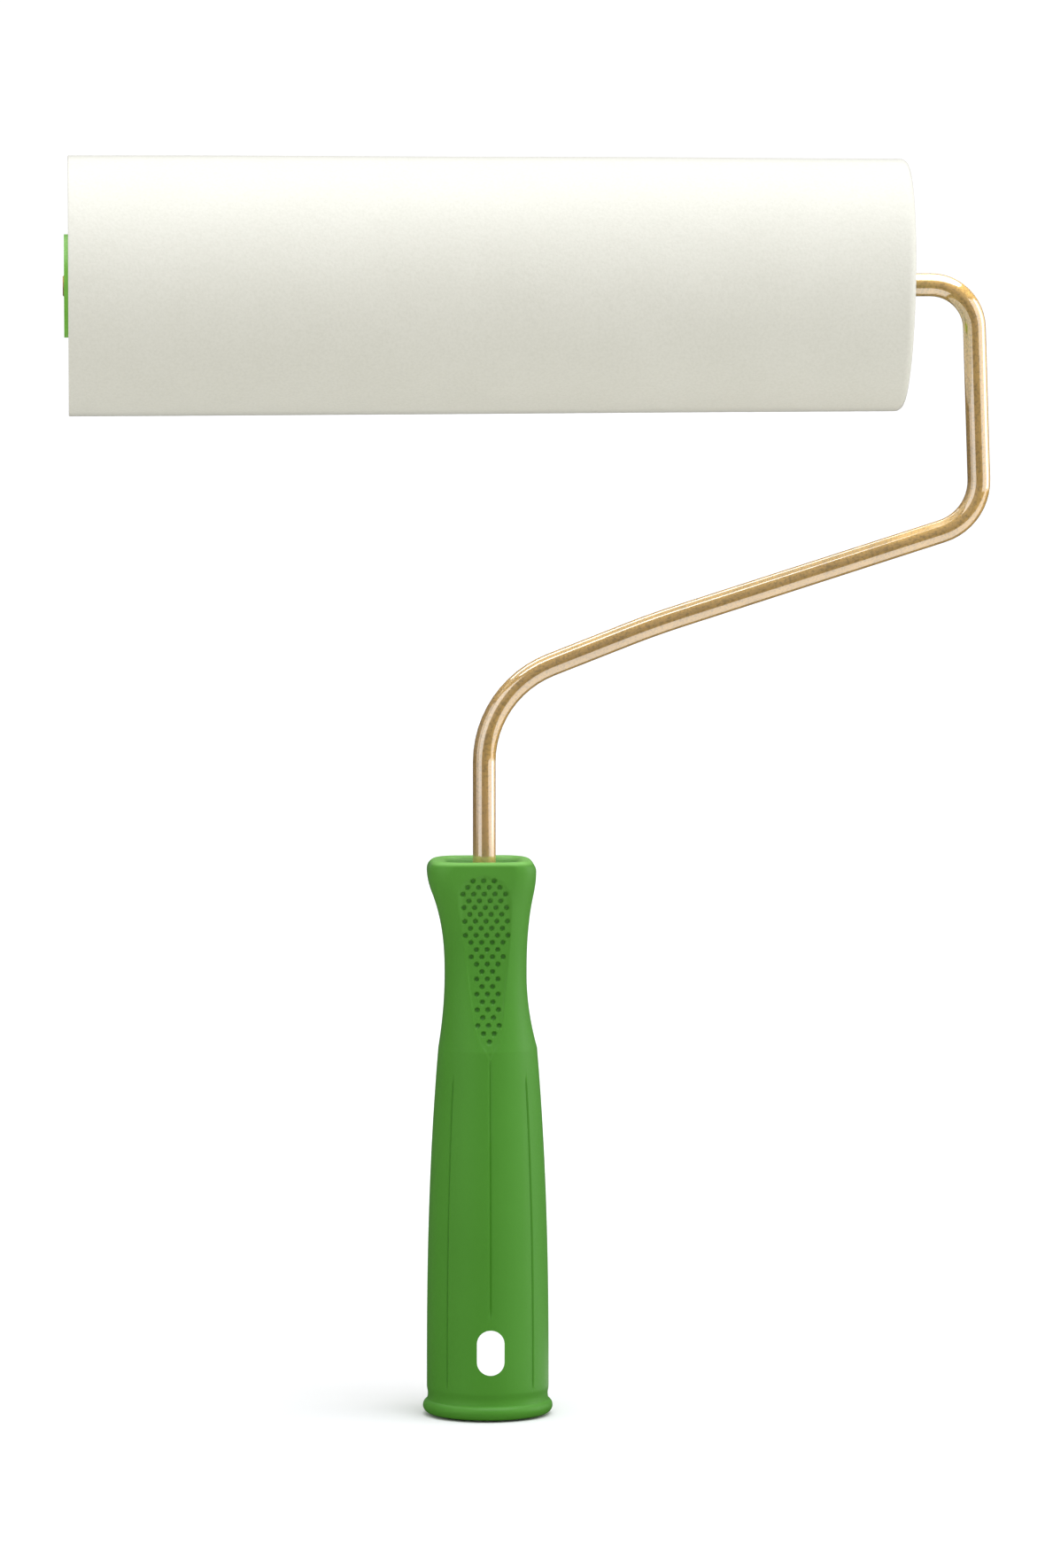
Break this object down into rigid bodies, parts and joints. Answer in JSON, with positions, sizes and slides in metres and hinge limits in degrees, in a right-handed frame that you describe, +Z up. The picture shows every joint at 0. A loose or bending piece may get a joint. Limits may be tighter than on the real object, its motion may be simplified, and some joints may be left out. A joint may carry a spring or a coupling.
{
  "type": "foam paint roller",
  "caption": "Foam paint roller: a plain foam sleeve spinning on a bent wire frame with a moulded plastic handle.",
  "frame": {"origin": "centre of the pole socket's mouth, on the handle's bottom face", "axes": "+Z up the handle towards the sleeve, +X along the sleeve's axle towards the wire's cranked side, working side facing -Y"},
  "size_m": [0.2221, 0.0616, 0.3022],
  "materials": {
    "foam": "fine open-cell foam, matte",
    "core_plastic": "extruded, matte",
    "cap_plastic": "moulded, satin",
    "washer_steel": "zinc plated",
    "spring_steel": "hardened spring steel",
    "plated_wire": "drawn steel wire with a glossy golden plating",
    "handle_plastic": "moulded, satin"
  },
  "bodies": {
    "frame": {"handle": "handle_plastic", "wire_frame": "plated_wire", "retaining_ring": "spring_steel", "outer_thrust_washer": "washer_steel", "inner_thrust_washer": "washer_steel"},
    "sleeve": {"foam_cover": "foam", "core_tube": "core_plastic", "outer_end_cap": "cap_plastic", "inner_end_cap": "cap_plastic"}
  },
  "joints": [
    {"name": "sleeve_spin", "type": "hinge", "parent": "frame", "child": "sleeve", "pos_m": [0, 0, 0.2715], "axis": [1, 0, 0], "continuous": true}
  ]
}
